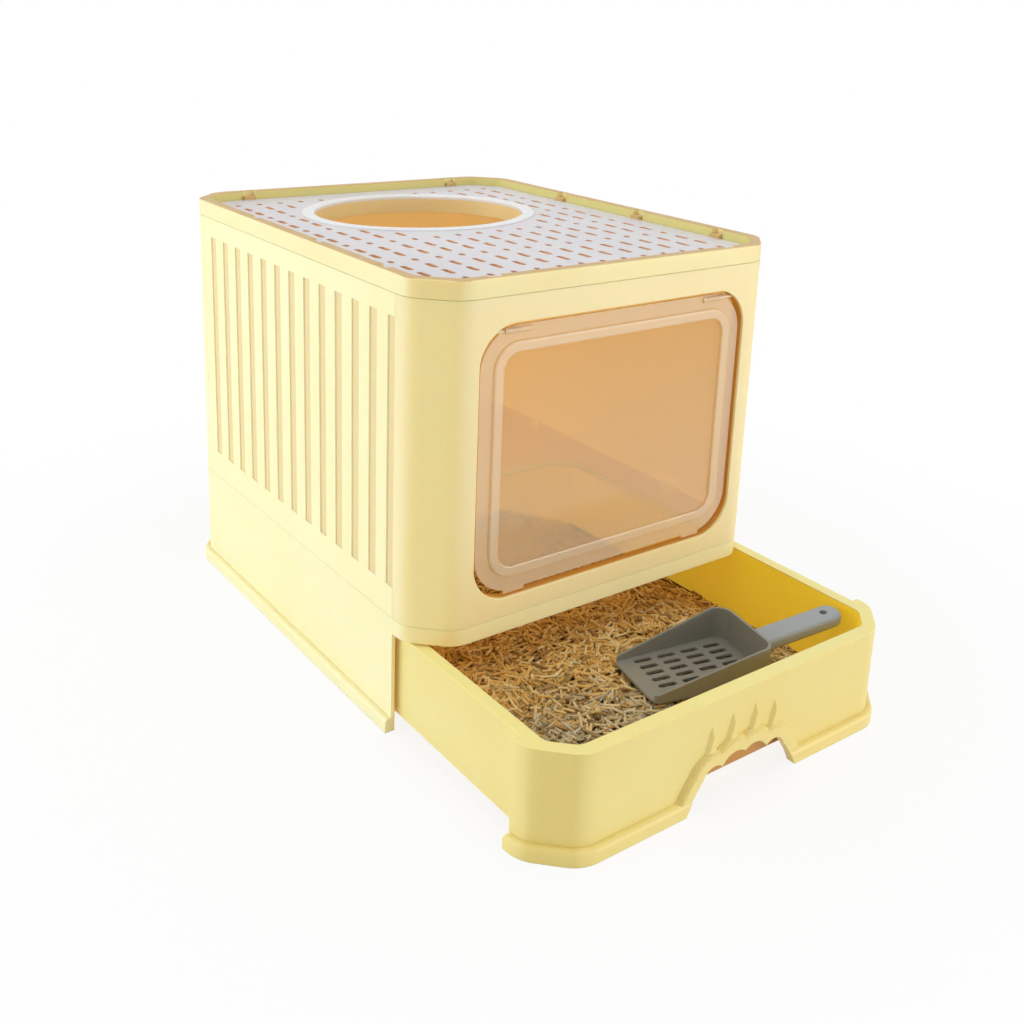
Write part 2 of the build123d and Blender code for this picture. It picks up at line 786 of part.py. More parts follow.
def bowl_plan():
    """Plan of the bowl, from its back wall at the origin to its tip along -X."""
    with BuildSketch(mode=Mode.PRIVATE) as bowl:
        with BuildLine():
            Polyline(
                (0, bowl_width / 2),
                (-bowl_length, bowl_tip_width / 2),
                (-bowl_length, -bowl_tip_width / 2),
                (0, -bowl_width / 2),
                close=True,
            )
        make_face()
        fillet(bowl.vertices().group_by(Axis.X)[-1], bowl_corner)
        fillet(bowl.vertices().group_by(Axis.X)[0], bowl_corner / 2)
    return bowl.sketch


scoop_side = Plane(scoop_plane.origin, x_dir=scoop_plane.x_dir, z_dir=-scoop_plane.y_dir)
scoop_axis = Axis(scoop_plane.origin, scoop_plane.x_dir)
handle_root_z = bowl_height - handle_thickness / 2 - handle_rise
with BuildPart() as scoop:
    with BuildSketch(scoop_side):
        with BuildLine():
            Polyline(
                (-bowl_wall / 2, handle_root_z - handle_thickness / 2),
                (handle_length, handle_root_z - handle_thickness / 2 + handle_rise),
                (handle_length, handle_root_z + handle_thickness / 2 + handle_rise),
                (-bowl_wall / 2, handle_root_z + handle_thickness / 2),
                close=True,
            )
        make_face()
    extrude(amount=handle_width / 2, both=True)
    handle_tip = scoop.faces().sort_by(scoop_axis)[-1]
    fillet(handle_tip.edges().filter_by(Axis.Z), handle_width / 2 - handle_end_flat)
    broad_edges = scoop.faces().sort_by(SortBy.AREA)[-2:].edges()
    fillet(broad_edges - scoop.faces().sort_by(scoop_axis)[0].edges(), handle_round)
    with BuildSketch(scoop_plane):
        add(bowl_plan())
    extrude(amount=bowl_height)
    with BuildSketch(scoop_plane.offset(bowl_wall)):
        with BuildSketch(mode=Mode.PRIVATE) as hollow:
            add(bowl_plan())
            offset(amount=-bowl_wall)
            with Locations((-bowl_length, 0)):
                Rectangle(bowl_corner * 2, bowl_tip_width - 2 * bowl_wall)
        add(hollow.sketch)
    extrude(amount=bowl_height, mode=Mode.SUBTRACT)
    with BuildSketch(scoop_side):
        with BuildLine():
            Polyline(
                (-bowl_length - over, bowl_tip_height),
                (-bowl_corner, bowl_height),
                (-bowl_corner, 2 * bowl_height),
                (-bowl_length - over, 2 * bowl_height),
                close=True,
            )
        make_face()
    extrude(amount=bowl_width, both=True, mode=Mode.SUBTRACT)
    slot_run = (bowl_slot_columns - 1) * bowl_slot_pitch_x + bowl_slot_length
    with BuildSketch(scoop_plane):
        with Locations((-bowl_slot_back - slot_run / 2, 0)):
            with GridLocations(bowl_slot_pitch_x, bowl_slot_pitch_y, bowl_slot_columns, bowl_slot_rows):
                SlotOverall(bowl_slot_length, bowl_slot_width)
    extrude(amount=bowl_wall, mode=Mode.SUBTRACT)
    with BuildSketch(scoop_plane):
        with Locations((handle_length - hang_hole_inset, 0)):
            Circle(hang_hole_radius)
    extrude(amount=2 * bowl_height, mode=Mode.SUBTRACT)
save(scoop, "scoop")
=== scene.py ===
"""Looks of the covered litter box: finishes, loose litter, floor, light and camera.

Metres, +Z up, front towards -Y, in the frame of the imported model.
"""

import math
from collections import namedtuple

import bpy
import numpy as np
from mathutils import Matrix, Vector, noise
from mathutils.bvhtree import BVHTree


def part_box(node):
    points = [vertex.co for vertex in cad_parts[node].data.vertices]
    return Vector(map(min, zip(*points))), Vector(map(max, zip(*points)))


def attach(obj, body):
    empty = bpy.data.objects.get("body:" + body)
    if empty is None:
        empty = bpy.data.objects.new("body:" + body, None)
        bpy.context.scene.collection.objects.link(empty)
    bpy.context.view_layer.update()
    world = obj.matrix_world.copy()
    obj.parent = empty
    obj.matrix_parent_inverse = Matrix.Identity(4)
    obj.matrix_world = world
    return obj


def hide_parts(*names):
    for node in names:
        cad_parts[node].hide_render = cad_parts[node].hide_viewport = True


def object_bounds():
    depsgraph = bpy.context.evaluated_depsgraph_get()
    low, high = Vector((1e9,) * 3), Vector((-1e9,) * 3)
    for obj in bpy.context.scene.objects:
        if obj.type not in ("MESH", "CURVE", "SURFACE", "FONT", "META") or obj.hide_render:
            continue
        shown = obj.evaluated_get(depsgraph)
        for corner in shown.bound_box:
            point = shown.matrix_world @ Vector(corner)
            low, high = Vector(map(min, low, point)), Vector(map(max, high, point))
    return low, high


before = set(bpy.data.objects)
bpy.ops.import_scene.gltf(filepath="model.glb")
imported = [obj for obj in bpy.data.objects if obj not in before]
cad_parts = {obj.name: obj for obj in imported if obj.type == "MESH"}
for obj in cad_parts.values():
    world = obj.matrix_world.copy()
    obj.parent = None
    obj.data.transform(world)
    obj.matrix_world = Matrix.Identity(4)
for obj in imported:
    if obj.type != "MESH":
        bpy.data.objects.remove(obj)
cad_low, cad_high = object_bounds()

# Camera of the photograph
image_pixels = 1024
focal_pixels = 1182.66
principal_row = 330
sensor_width = 36.0
camera_place = Vector((-0.66744, -0.89062, 0.61422))
camera_yaw = 0.64092
camera_pitch = 0.26528
camera_roll = 0.03714

# Colours of the finishes, on a 0 to 255 scale
housing_colour = (250, 240, 190)
housing_shade = (248, 236, 180)
# Front panel: the sides' plastic, painted warmer and darker for the dimmer, warmer light on the front
front_painted_shade = (250, 232, 180)
front_painted_shade_drift = (248, 228, 172)
# Painted warm shade on the faces that look into the housing, which also get a painted glow
housing_inside_painted_shade = (248, 212, 124)
# Painted shade on the housing's corner facets
facet_painted_shade = (249, 228, 158)
# Painted warm shade on the base frame's inner faces, which also get a painted glow
base_inside_painted_shade = (242, 196, 104)
# Painted shade on the front panel's faces round the door opening
reveal_painted_shade = (222, 160, 66)
# Grooves: painted shade on their floors, a painted shadow along each floor's front side, painted light on
# their walls
groove_floor_painted_shade = (233, 212, 154)
groove_painted_shadow = (176, 152, 98)
groove_wall_painted_light = (254, 248, 214)
rim_colour = (245, 229, 168)
# Painted shade on the rim's corner facets
rim_facet_painted_shade = (244, 222, 152)
# Painted shade on the rim's flat top
rim_top_painted_shade = (206, 168, 100)
# Painted shade on the rim's inner faces
rim_inside_painted_shade = (230, 218, 138)
drawer_colour = (242, 225, 149)
drawer_shade = (239, 218, 137)
# Painted light on the drawer's rim top
drawer_rim_painted_light = (254, 239, 160)
# Painted light and glow on the tray's inner walls
drawer_inside_painted_light = (255, 214, 36)
# Painted shade on the drawer front's slanted corners
drawer_facet_painted_shade = (234, 214, 130)
# Painted shade in the hollow behind the hand cut-out
drawer_hollow_painted_shade = (200, 142, 62)
inner_colour = (244, 200, 100)
inner_shade = (236, 190, 88)
sieve_colour = (225, 222, 225)
sieve_shade = (219, 216, 220)
# Painted shade on the sieve's snap tabs
tab_painted_shade = (214, 178, 112)
# Painted warm shade on the walls of the sieve's slots, for the light from inside
slot_wall_painted_shade = (234, 182, 136)
collar_colour = (244, 243, 244)
collar_shade = (237, 236, 239)
# Painted warm light on the entry wall below the collar's top
collar_wall_painted_light = (248, 226, 168)
pin_colour = (236, 216, 172)
pin_shade = (230, 208, 160)
flap_tint = (246, 236, 198)
flap_milk = (250, 230, 204)
# Painted highlight along the flap's bead
flap_bead_painted_highlight = (252, 238, 216)
bowl_colour = (140, 138, 126)
bowl_shade = (132, 130, 119)
handle_colour = (160, 167, 171)
straw_colours = ((170, 126, 60), (222, 174, 88), (242, 200, 112), (250, 226, 164))
bleached_colours = ((106, 103, 85), (148, 144, 119), (176, 171, 147), (208, 203, 183))
# Litter bed: dark crumbs with painted shade between the pellets; the first is also the pellets' darker
# fibres
dust_and_shade_colour = (112, 82, 40)
dust_painted_shade = (76, 54, 26)

# Light that thin walls let through, as colours of linear light and strengths
inner_glow = (0.86, 0.69, 0.32, 1.0)
tray_light = (0.95, 0.68, 0.06, 1.0)
cabin_glow = 0.26
base_glow = 0.14
tray_glow = 0.24

# Moulded plastic
noise_middle = (0.3, 0.7)
grain_scale = 1500.0
grain_height = 0.00006
drift_scale = 7.0
polish_scale = 40.0
polish_below = 0.04
polish_above = 0.06
edge_softness = 0.0007
wall_roughness = 0.42
smooth_roughness = 0.4
inner_roughness = 0.45
pin_roughness = 0.3
sieve_roughness = 0.38
collar_roughness = 0.32
wall_scatter = 0.4
wall_scatter_depth = 0.004
thin_scatter = 0.2
thin_scatter_depth = 0.002
scatter_colours = (1.0, 0.62, 0.22)

# Places on the pieces set apart in colour: painted shade, light and glow, and the scoop's handle
corner_leg = 0.033
inside_depth = 0.0026
facet_blend = 0.008
facet_start = -0.004
face_margin = 0.0003
groove_first = 0.0535
groove_pitch = 0.030
groove_painted_shadow_part = 0.185
groove_depth = 0.0012
rim_width = 0.011
rim_inner_margin = 0.0005
rim_top_margin = 0.0004
rim_round = 0.001
sieve_thickness = 0.003
collar_top = 0.004
corner_skin = 0.0125
tray_margin = 0.0012
tray_rim_gap = 0.001
hollow_middle = 0.01275
hollow_half = 0.00395
hollow_reach = 0.075
hollow_top = 0.05
scoop_turn = math.radians(-12)
handle_root = (0.0795, -0.2610)

# Clear door
flap_border = 0.0225
flap_border_milk = 0.44
flap_top_milk = 0.13
flap_foot_milk = 0.34
# Share of the painted highlight on the bead
flap_bead_highlight_share = 0.46
flap_bead_top = 0.0005
flap_polish = (0.1, 0.16)
flap_gloss = (0.022, 0.022, 0.022, 1)
flap_gloss_roughness = 0.06

# Litter bed
bed_voxel = 0.005
bed_drop = 0.0045
bed_least = 0.0005
crumble_scale = 160
crumble_low = 0.6
crumble_span = 0.8
mottle_scale = 420.0
crumb_scale = 500.0
crumb_relief = 0.001
dust_detail = 4.0
dust_roughness = 0.95

# Litter pellets
pellet_radius = 0.00125
pellet_lengths = (0.009, 0.017)
pellet_sides = 6
pellet_crease = math.radians(65)
pellet_wall_gap = 0.0015
pellet_heights = (-0.0030, -0.0017, -0.0003)
pellet_leans = (0.02, 0.16, 0.16)
pellet_scatter = 0.0009
pellet_fade = 0.22
pellet_seed = 7
front_layers = 3
back_layers = 2
top_layer_reach = 0.06
shown_reach = 0.02
scoop_margin = 0.003
scoop_probes = (-1, -0.5, 0, 0.5, 1)
sky_gap = 0.01
bleach_start = 0.02
bleach_run = 0.13
bleach_drift = 0.5
bleach_scale = 14
bleach_level = 3
fibre_scale = 900.0
fibre_detail = 4.0
fibre_share = 0.2
straw_scale = 1400.0
straw_detail = 3.0
straw_relief = 0.0003
straw_roughness = 0.82

# Floor and world
floor_size = 40.0
floor_colour = (0.92, 0.92, 0.92, 1)
floor_roughness = 0.9
floor_gloss = 0.1
shadow_reach = (0.35, 0.8)
shadow_white = 0.85
white_strength = 1.0
world_light = 0.54

# Softboxes: name, place, width, height, power and colour
softboxes = (
    ("left_softbox", (-2.2, 1.0, 0.7), 1.8, 1.4, 27.0, (0.93, 1.0, 1.06)),
    ("front_softbox", (1.7, -2.2, 0.36), 1.8, 0.7, 25.0, (1.0, 0.95, 0.87)),
    ("top_softbox", (0.1, -0.4, 2.6), 1.6, 1.6, 17.0, (1.0, 1.0, 0.98)),
)

Pellet = namedtuple("Pellet", "centre along length tint bleach shown")


def linear(colour):
    """A 0 to 255 display colour as linear light, with full alpha."""
    steps = np.array(colour, float) / 255
    light = np.where(steps <= 0.04045, steps / 12.92, ((steps + 0.055) / 1.055) ** 2.4)
    return (*light, 1.0)


def new_material(name):
    """An empty node material with its tree and its Principled shader."""
    made = bpy.data.materials.new(name)
    made.use_nodes = True
    tree = made.node_tree
    return made, tree, tree.nodes["Principled BSDF"]


def calc(tree, operation, first, second=0.0):
    """One step of arithmetic on sockets and plain numbers."""
    made = tree.nodes.new("ShaderNodeMath")
    made.operation = operation
    for socket, value in zip(made.inputs, (first, second)):
        if isinstance(value, float):
            socket.default_value = value
        else:
            tree.links.new(value, socket)
    return made.outputs["Value"]


def map_range(tree, value, source, target=(0.0, 1.0), smooth=False):
    """Carry a value from one range over to another, in a line or smoothly."""
    made = tree.nodes.new("ShaderNodeMapRange")
    if smooth:
        made.interpolation_type = "SMOOTHSTEP"
    for name, bound in zip(("From Min", "From Max", "To Min", "To Max"), (*source, *target)):
        made.inputs[name].default_value = bound
    tree.links.new(value, made.inputs["Value"])
    return made.outputs["Result"]


def mix_colours(tree, factor, first, second):
    """Blend two colours, each a plain colour or a socket, by a factor socket."""
    blend = tree.nodes.new("ShaderNodeMix")
    blend.data_type = "RGBA"
    tree.links.new(factor, blend.inputs["Factor"])
    for socket, colour in ((blend.inputs["A"], first), (blend.inputs["B"], second)):
        if isinstance(colour, tuple):
            socket.default_value = linear(colour)
        else:
            tree.links.new(colour, socket)
    return blend.outputs["Result"]


def mix_shaders(tree, factor, first, second):
    """Blend two shaders by a factor socket."""
    blend = tree.nodes.new("ShaderNodeMixShader")
    tree.links.new(factor, blend.inputs["Fac"])
    tree.links.new(first, blend.inputs[1])
    tree.links.new(second, blend.inputs[2])
    return blend.outputs["Shader"]


def object_noise(tree, scale, detail=2.0):
    """Noise in object space, as a 0 to 1 value."""
    place = tree.nodes.new("ShaderNodeTexCoord")
    cloud = tree.nodes.new("ShaderNodeTexNoise")
    cloud.inputs["Scale"].default_value = scale
    cloud.inputs["Detail"].default_value = detail
    tree.links.new(place.outputs["Object"], cloud.inputs["Vector"])
    return cloud.outputs["Fac"]


def spread(tree, value, low, high):
    """Stretch the middle of a noise value over a range."""
    return map_range(tree, value, noise_middle, (low, high))


def roughen(tree, shader, scale, height, detail=2.0):
    """Fine uneven relief all over a surface."""
    relief = tree.nodes.new("ShaderNodeBump")
    relief.inputs["Distance"].default_value = height
    tree.links.new(object_noise(tree, scale, detail), relief.inputs["Height"])
    tree.links.new(relief.outputs["Normal"], shader.inputs["Normal"])
    return relief


def soft_grain(tree, shader):
    """Fine grain of moulded plastic, over edges that are slightly rounded."""
    grain = roughen(tree, shader, grain_scale, grain_height)
    rounded = tree.nodes.new("ShaderNodeBevel")
    rounded.inputs["Radius"].default_value = edge_softness
    tree.links.new(rounded.outputs["Normal"], grain.inputs["Normal"])


def place_of(tree):
    """Object-space x, y and z."""
    place = tree.nodes.new("ShaderNodeTexCoord")
    parts = tree.nodes.new("ShaderNodeSeparateXYZ")
    tree.links.new(place.outputs["Object"], parts.inputs["Vector"])
    return parts.outputs["X"], parts.outputs["Y"], parts.outputs["Z"]


def within(tree, value, middle, half):
    """1 where a value lies within a half width of a middle."""
    away = calc(tree, "ABSOLUTE", calc(tree, "SUBTRACT", value, middle))
    return calc(tree, "LESS_THAN", away, half)


def depths_in_plan(tree):
    """How far a place lies inside the housing's straight walls and inside its corner facets."""
    low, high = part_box("top_frame")
    half_x = (high.x - low.x) / 2
    half_y = (high.y - low.y) / 2
    x, y, _ = place_of(tree)
    across = calc(tree, "ABSOLUTE", x)
    along = calc(tree, "ABSOLUTE", calc(tree, "SUBTRACT", y, (low.y + high.y) / 2))
    side = calc(tree, "SUBTRACT", half_x, across)
    end = calc(tree, "SUBTRACT", half_y, along)
    corner = calc(tree, "SUBTRACT", half_x + half_y - corner_leg, calc(tree, "ADD", across, along))
    return calc(tree, "MINIMUM", side, end), calc(tree, "MULTIPLY", corner, math.sqrt(0.5))


def depth_in_plan(tree):
    """How far a place lies inside the housing's outer walls."""
    return calc(tree, "MINIMUM", *depths_in_plan(tree))


def facet_fade(tree, straight, slant):
    """0 on a straight wall, 1 on a slanted corner facet, smooth between."""
    excess = calc(tree, "SUBTRACT", straight, slant)
    return map_range(tree, excess, (facet_start, facet_start + facet_blend), smooth=True)


def facet_side(tree):
    """1 on the housing's corner facets, fading into the walls beside them."""
    return facet_fade(tree, *depths_in_plan(tree))


def wall_places(tint, glow):
    """Painted shade on the corner facets, and painted shade and glow on the faces that look into the
    housing.
    """
    def places(tree):
        inner = calc(tree, "GREATER_THAN", depth_in_plan(tree), inside_depth)
        return [(facet_side(tree), facet_painted_shade, 0.0), (inner, tint, glow)]
    return places


def groove_places(tree):
    """Painted light on the groove walls, painted shade on their floors with a painted shadow along each
    floor's front side, and painted shade and glow on a side panel's inner face.
    """
    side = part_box("left_panel")[0].x
    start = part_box("front_panel")[0].y + groove_first
    x, y, _ = place_of(tree)
    depth = calc(tree, "SUBTRACT", -side, calc(tree, "ABSOLUTE", x))
    step = calc(tree, "DIVIDE", calc(tree, "SUBTRACT", y, start), groove_pitch)
    phase = calc(tree, "SUBTRACT", step, calc(tree, "ROUND", step))
    wall = calc(tree, "GREATER_THAN", depth, face_margin / 2)
    floor = calc(tree, "GREATER_THAN", depth, groove_depth - face_margin / 2)
    edge = calc(tree, "MULTIPLY", floor, calc(tree, "LESS_THAN", phase, -groove_painted_shadow_part))
    inner = calc(tree, "GREATER_THAN", depth, groove_depth + face_margin)
    return [
        (wall, groove_wall_painted_light, 0.0),
        (floor, groove_floor_painted_shade, 0.0),
        (edge, groove_painted_shadow, 0.0),
        (inner, housing_inside_painted_shade, cabin_glow),
    ]


def rim_places(tree):
    """Painted shade on the rim's corner facets, inner faces and flat top."""
    depth = depth_in_plan(tree)
    top = calc(tree, "GREATER_THAN", place_of(tree)[2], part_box("top_frame")[1].z - rim_top_margin)
    flat = calc(tree, "MULTIPLY", top, calc(tree, "GREATER_THAN", depth, rim_round))
    inner = calc(tree, "GREATER_THAN", depth, rim_width - rim_inner_margin)
    return [(facet_side(tree), rim_facet_painted_shade, 0.0), (inner, rim_inside_painted_shade, 0.0), (flat, rim_top_painted_shade, 0.0)]


def drawer_depths(tree):
    """How far a place lies inside the drawer front's straight faces and inside its slanted corners."""
    low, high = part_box("drawer_tray")
    x, y, _ = place_of(tree)
    aside = calc(tree, "SUBTRACT", high.x, calc(tree, "ABSOLUTE", x))
    ahead = calc(tree, "SUBTRACT", y, low.y)
    corner = calc(tree, "SUBTRACT", calc(tree, "ADD", aside, ahead), corner_leg)
    return calc(tree, "MINIMUM", aside, ahead), calc(tree, "MULTIPLY", corner, math.sqrt(0.5))


def tray_places(tree):
    """Painted shade on the drawer front's slanted corners and in its cut-out's hollow, painted light on
    its rim, and painted light and glow on the inner walls of the tray.
    """
    low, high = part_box("litter_bed")
    tray_low, tray_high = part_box("drawer_tray")
    straight, slant = drawer_depths(tree)
    corner = facet_fade(tree, straight, slant)
    x, y, z = place_of(tree)
    rim = calc(tree, "GREATER_THAN", z, tray_high.z - face_margin)
    behind = within(tree, y, tray_low.y + hollow_middle, hollow_half)
    middle = within(tree, x, 0.0, hollow_reach)
    under = calc(tree, "MULTIPLY", middle, calc(tree, "LESS_THAN", z, hollow_top))
    hollow = calc(tree, "MULTIPLY", behind, under)
    aside = within(tree, x, (low.x + high.x) / 2, (high.x - low.x) / 2 + tray_margin)
    along = within(tree, y, (low.y + high.y) / 2, (high.y - low.y) / 2 + tray_margin)
    below = calc(tree, "LESS_THAN", z, tray_high.z - tray_rim_gap)
    clear = calc(tree, "GREATER_THAN", slant, corner_skin)
    inner = aside
    for mask in (along, below, clear):
        inner = calc(tree, "MULTIPLY", inner, mask)
    return [
        (corner, drawer_facet_painted_shade, 0.0),
        (rim, drawer_rim_painted_light, 0.0),
        (hollow, drawer_hollow_painted_shade, 0.0),
        (inner, drawer_inside_painted_light, tray_glow),
    ]


def sieve_places(tree):
    """Painted shade on the snap tabs that stand up from the sieve, and painted warm shade on the walls of
    its slots.
    """
    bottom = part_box("sieve_lid")[0].z
    height = place_of(tree)[2]
    tabs = calc(tree, "GREATER_THAN", height, bottom + sieve_thickness + face_margin)
    walls = within(tree, height, bottom + sieve_thickness / 2, sieve_thickness / 2 - face_margin)
    return [(tabs, tab_painted_shade, 0.0), (walls, slot_wall_painted_shade, 0.0)]


def collar_places(tree):
    """Wall of the entry below the collar's rounded top, warm with the light from inside."""
    wall = calc(tree, "LESS_THAN", place_of(tree)[2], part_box("entry_collar")[1].z - collar_top)
    return [(wall, collar_wall_painted_light, 0.0)]


def handle_places(tree):
    """Handle of the scoop, behind the bowl."""
    x, y, _ = place_of(tree)
    along = calc(tree, "MULTIPLY", calc(tree, "SUBTRACT", x, handle_root[0]), math.cos(scoop_turn))
    aside = calc(tree, "MULTIPLY", calc(tree, "SUBTRACT", y, handle_root[1]), math.sin(scoop_turn))
    return [(calc(tree, "GREATER_THAN", calc(tree, "ADD", along, aside), 0.0), handle_colour, 0.0)]


def plastic(name, colour, shade, roughness, places=None, scatter=0.0, scatter_depth=wall_scatter_depth,
            glow_all=0.0, glow_colour=inner_glow):
    """Moulded plastic: a slow drift of colour, uneven polish, fine grain, and places with a tint of their
    own, most of them painted shade, painted light or painted glow.
    """
    made, tree, shader = new_material(name)
    drift = spread(tree, object_noise(tree, drift_scale), 0.0, 1.0)
    body = mix_colours(tree, drift, colour, shade)
    shader.inputs["Emission Color"].default_value = glow_colour
    shader.inputs["Emission Strength"].default_value = glow_all
    for mask, tint, strength in places(tree) if places else ():
        body = mix_colours(tree, mask, body, tint)
        if strength > 0:
            tree.links.new(calc(tree, "MULTIPLY", mask, strength), shader.inputs["Emission Strength"])
    tree.links.new(body, shader.inputs["Base Color"])
    worn = object_noise(tree, polish_scale)
    polish = spread(tree, worn, roughness - polish_below, roughness + polish_above)
    tree.links.new(polish, shader.inputs["Roughness"])
    soft_grain(tree, shader)
    shader.inputs["Subsurface Weight"].default_value = scatter
    shader.inputs["Subsurface Radius"].default_value = scatter_colours
    shader.inputs["Subsurface Scale"].default_value = scatter_depth
    return made


def clear_plastic(name, tint, milk):
    """Clear polished sheet, milky along its border, with a painted highlight along its bead, and milkier
    towards its foot.
    """
    made, tree, shader = new_material(name)
    low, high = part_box("flap_door")
    x, y, z = place_of(tree)
    bead = calc(tree, "LESS_THAN", y, low.y + flap_bead_top)
    aside = within(tree, x, (low.x + high.x) / 2, (high.x - low.x) / 2 - flap_border)
    along = within(tree, z, (low.z + high.z) / 2, (high.z - low.z) / 2 - flap_border)
    border = calc(tree, "SUBTRACT", 1.0, calc(tree, "MULTIPLY", aside, along))
    haze = map_range(tree, z, (low.z, high.z), (flap_foot_milk, flap_top_milk))
    cloud = calc(tree, "MAXIMUM", haze, calc(tree, "MULTIPLY", border, flap_border_milk))
    cloud = calc(tree, "MAXIMUM", cloud, calc(tree, "MULTIPLY", bead, flap_bead_highlight_share))
    tree.links.new(mix_colours(tree, bead, milk, flap_bead_painted_highlight), shader.inputs["Base Color"])
    polish = spread(tree, object_noise(tree, polish_scale), *flap_polish)
    tree.links.new(polish, shader.inputs["Roughness"])
    clear = tree.nodes.new("ShaderNodeBsdfTransparent")
    clear.inputs["Color"].default_value = linear(tint)
    sheet = mix_shaders(tree, cloud, clear.outputs["BSDF"], shader.outputs["BSDF"])
    gloss = tree.nodes.new("ShaderNodeBsdfGlossy")
    gloss.inputs["Color"].default_value = flap_gloss
    gloss.inputs["Roughness"].default_value = flap_gloss_roughness
    both = tree.nodes.new("ShaderNodeAddShader")
    tree.links.new(sheet, both.inputs[0])
    tree.links.new(gloss.outputs["BSDF"], both.inputs[1])
    tree.links.new(both.outputs["Shader"], tree.nodes["Material Output"].inputs["Surface"])
    return made


def ramp(tree, value, colours):
    """A row of colours, evenly spaced from 0 to 1."""
    made = tree.nodes.new("ShaderNodeValToRGB")
    stops = made.color_ramp.elements
    while len(stops) < len(colours):
        stops.new(0.5)
    for index, colour in enumerate(colours):
        stops[index].position = index / (len(colours) - 1)
        stops[index].color = linear(colour)
    tree.links.new(value, made.inputs["Fac"])
    return made.outputs["Color"]


def attribute(tree, name):
    """A value that each pellet carries."""
    made = tree.nodes.new("ShaderNodeAttribute")
    made.attribute_name = name
    return made.outputs["Fac"]


def pellet_material():
    """Pressed straw: each pellet has its own tint, bleached towards the front, with rough fibres."""
    made, tree, shader = new_material("pressed_straw")
    tint = attribute(tree, "tint")
    golden = ramp(tree, tint, straw_colours)
    bleached = ramp(tree, tint, bleached_colours)
    body = mix_colours(tree, attribute(tree, "bleach"), golden, bleached)
    fibre = spread(tree, object_noise(tree, fibre_scale, fibre_detail), 0.0, fibre_share)
    tree.links.new(mix_colours(tree, fibre, body, dust_and_shade_colour), shader.inputs["Base Color"])
    shader.inputs["Roughness"].default_value = straw_roughness
    roughen(tree, shader, straw_scale, straw_relief, straw_detail)
    return made


def dust_and_shade_material():
    """Crumbs and shade between the pellets."""
    made, tree, shader = new_material("litter_dust_and_shade")
    mottle = spread(tree, object_noise(tree, mottle_scale, dust_detail), 0.0, 1.0)
    tree.links.new(mix_colours(tree, mottle, dust_painted_shade, dust_and_shade_colour), shader.inputs["Base Color"])
    shader.inputs["Roughness"].default_value = dust_roughness
    roughen(tree, shader, crumb_scale, crumb_relief, dust_detail)
    return made


def dress(material, *names):
    """Give CAD nodes their finish."""
    for name in names:
        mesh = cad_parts[name].data
        mesh.materials.clear()
        mesh.materials.append(material)


def surface_of(name):
    """Search tree over a CAD node's faces."""
    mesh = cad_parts[name].data
    return BVHTree.FromPolygons([v.co for v in mesh.vertices], [p.vertices for p in mesh.polygons])


def dress_nodes():
    """Finishes of all the moulded pieces."""
    # Walls: painted shade on corner facets and inner faces, painted glow inside the back panel and base
    # frame
    for node, colour, shade, inside, glow in (
        ("front_panel", front_painted_shade, front_painted_shade_drift, reveal_painted_shade, 0.0),
        ("back_panel", housing_colour, housing_shade, housing_inside_painted_shade, cabin_glow),
        ("base_frame", housing_colour, housing_shade, base_inside_painted_shade, base_glow),
    ):
        places = wall_places(inside, glow)
        dress(plastic(node + "_plastic", colour, shade, wall_roughness, places, wall_scatter), node)
    grooved = plastic(
        "grooved_plastic", housing_colour, housing_shade, wall_roughness, groove_places, wall_scatter,
    )
    dress(grooved, "left_panel", "right_panel")
    rim = plastic("rim_plastic", rim_colour, housing_shade, smooth_roughness, rim_places, wall_scatter)
    dress(rim, "top_frame")
    drawer = plastic(
        "drawer_plastic", drawer_colour, drawer_shade, smooth_roughness, tray_places, wall_scatter,
        glow_colour=tray_light,
    )
    dress(drawer, "drawer_tray")
    # Inner pieces: a painted glow for the light inside the housing
    inner = plastic("inner_plastic", inner_colour, inner_shade, inner_roughness, glow_all=cabin_glow)
    dress(inner, "left_runner", "right_runner", "base_clips", "top_clips")
    dress(inner, "left_flap_bracket", "right_flap_bracket")
    pins = plastic("pin_plastic", pin_colour, pin_shade, pin_roughness)
    dress(pins, "left_flap_pin", "right_flap_pin")
    sieve = plastic(
        "sieve_plastic", sieve_colour, sieve_shade, sieve_roughness, sieve_places, thin_scatter,
        thin_scatter_depth,
    )
    dress(sieve, "sieve_lid")
    collar = plastic(
        "collar_plastic", collar_colour, collar_shade, collar_roughness, collar_places, thin_scatter,
        thin_scatter_depth,
    )
    dress(collar, "entry_collar")
    dress(clear_plastic("flap_plastic", flap_tint, flap_milk), "flap_door")
    dress(plastic("scoop_plastic", bowl_colour, bowl_shade, smooth_roughness, handle_places), "scoop")


def litter_base():
    """Crumbly bed under the pellets, a little below their top."""
    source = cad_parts["litter_bed"]
    bed = bpy.data.objects.new("litter_base", source.data.copy())
    bpy.context.scene.collection.objects.link(bed)
    voxels = bed.modifiers.new("voxels", "REMESH")
    voxels.mode = "VOXEL"
    voxels.voxel_size = bed_voxel
    evaluated = bed.evaluated_get(bpy.context.evaluated_depsgraph_get())
    mesh = bpy.data.meshes.new_from_object(evaluated)
    bed.modifiers.clear()
    bed.data = mesh
    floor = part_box("litter_bed")[0].z
    for vertex in mesh.vertices:
        height = vertex.co.z - floor
        if height > bed_drop:
            crumble = noise.noise(vertex.co * crumble_scale) * 0.5 + 0.5
            vertex.co.z -= min(bed_drop * (crumble_low + crumble_span * crumble), height - bed_least)
    mesh.materials.clear()
    mesh.materials.append(dust_and_shade_material())
    mesh.shade_smooth()
    return bed


